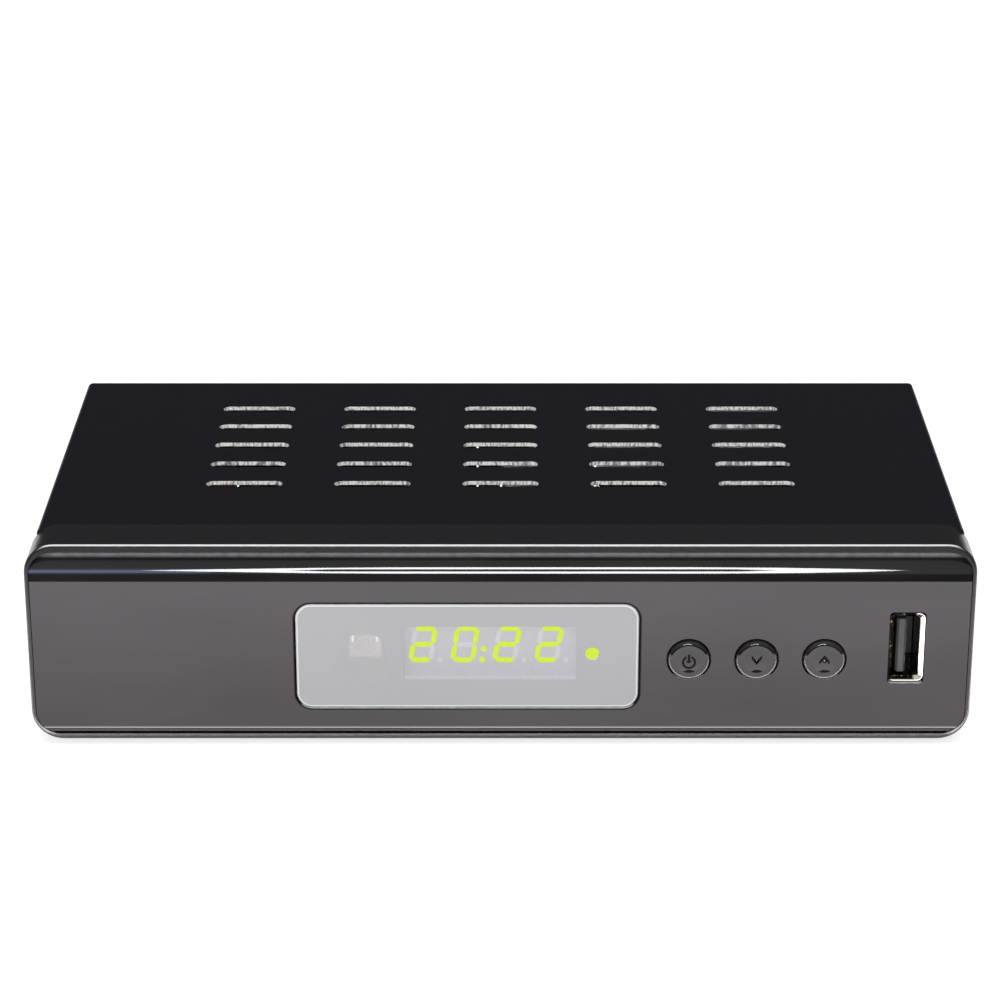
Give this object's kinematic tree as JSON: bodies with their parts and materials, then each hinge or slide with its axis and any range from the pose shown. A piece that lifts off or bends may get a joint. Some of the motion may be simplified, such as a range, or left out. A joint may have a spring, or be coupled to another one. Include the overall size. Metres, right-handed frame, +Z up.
{
  "type": "satellite television receiver",
  "caption": "Low, wide set-top receiver: slotted black steel cover, gloss front with clock display, push buttons and a USB socket, and aerial and signal sockets at the rear.",
  "frame": {"origin": "on the table, below the middle of the whole receiver with its rear sockets", "axes": "+X to the right of someone who faces the front, +Y towards the rear sockets, +Z up"},
  "size_m": [0.182, 0.1036, 0.042],
  "materials": {
    "satin_black_plastic": "fine satin moulded",
    "gloss_black_plastic": "polished",
    "smoked_window": "polished, hazy grey",
    "black_coated_steel": "satin pre-coated sheet, bare at cut edges",
    "zinc_steel": "zinc-plated sheet",
    "black_screw": "black zinc",
    "zinc_screw": "zinc plated",
    "rubber": "matte",
    "circuit_board": "satin solder mask",
    "nickel": "nickel plated",
    "gold_contact": "gold plated",
    "white_insulator": "satin",
    "grey_plastic": "satin",
    "black_plastic": "satin",
    "orange_plastic": "satin",
    "white_plastic": "satin",
    "aluminium": "satin",
    "ribbon": "satin",
    "display_body": "satin",
    "lit_green": "lit yellow-green",
    "unlit_segment": "diffusing",
    "receiver_eye": "clear dome"
  },
  "bodies": {
    "case": {"aerial_contacts": "gold_contact", "aerial_insulators": "white_insulator", "aerial_nuts": "nickel", "aerial_washers": "nickel", "board_screws": "zinc_screw", "capacitors": "aluminium", "channel_down_switch": "black_plastic", "channel_up_switch": "black_plastic", "chassis_pan": "zinc_steel", "coax_audio_block": "orange_plastic", "coax_audio_contact": "gold_contact", "coax_audio_ring": "nickel", "cover_screws": "black_screw", "crystal": "nickel", "dark_segments": "unlit_segment", "display_window": "smoked_window", "ethernet_contacts": "gold_contact", "ethernet_shell": "nickel", "ethernet_socket": "black_plastic", "feet": "rubber", "flash_chips": "black_plastic", "front_bezel": "satin_black_plastic", "front_board": "circuit_board", "front_fascia": "gloss_black_plastic", "front_header": "grey_plastic", "front_usb_contacts": "gold_contact", "front_usb_shell": "nickel", "front_usb_tongue": "grey_plastic", "hdmi_shell": "nickel", "hdmi_tongue": "black_plastic", "heatsink": "aluminium", "inductors": "black_plastic", "ir_receiver": "receiver_eye", "lamp_spacer": "white_insulator", "led_display": "display_body", "lit_segments": "lit_green", "lnb_in_socket": "nickel", "lnb_out_socket": "nickel", "main_board": "circuit_board", "main_chip": "black_plastic", "main_header": "grey_plastic", "memory_chips": "black_plastic", "power_inlet": "black_plastic", "power_pin": "nickel", "power_switch": "black_plastic", "rear_panel": "zinc_steel", "ribbon_cable": "ribbon", "scart_socket": "black_plastic", "status_lamp": "lit_green", "top_cover": "black_coated_steel", "tuner_can": "zinc_steel", "tuner_lid": "zinc_steel"},
    "power_key": {"power_button": "gloss_black_plastic", "power_plunger": "white_plastic"},
    "channel_down_key": {"channel_down_button": "gloss_black_plastic", "channel_down_plunger": "white_plastic"},
    "channel_up_key": {"channel_up_button": "gloss_black_plastic", "channel_up_plunger": "white_plastic"}
  },
  "joints": [
    {"name": "power_press", "type": "slide", "parent": "case", "child": "power_key", "axis": [0, 1, 0], "range_m": [0, 0.0004], "stiffness_N_per_m": 700},
    {"name": "channel_down_press", "type": "slide", "parent": "case", "child": "channel_down_key", "axis": [0, 1, 0], "range_m": [0, 0.0004], "stiffness_N_per_m": 700},
    {"name": "channel_up_press", "type": "slide", "parent": "case", "child": "channel_up_key", "axis": [0, 1, 0], "range_m": [0, 0.0004], "stiffness_N_per_m": 700}
  ]
}
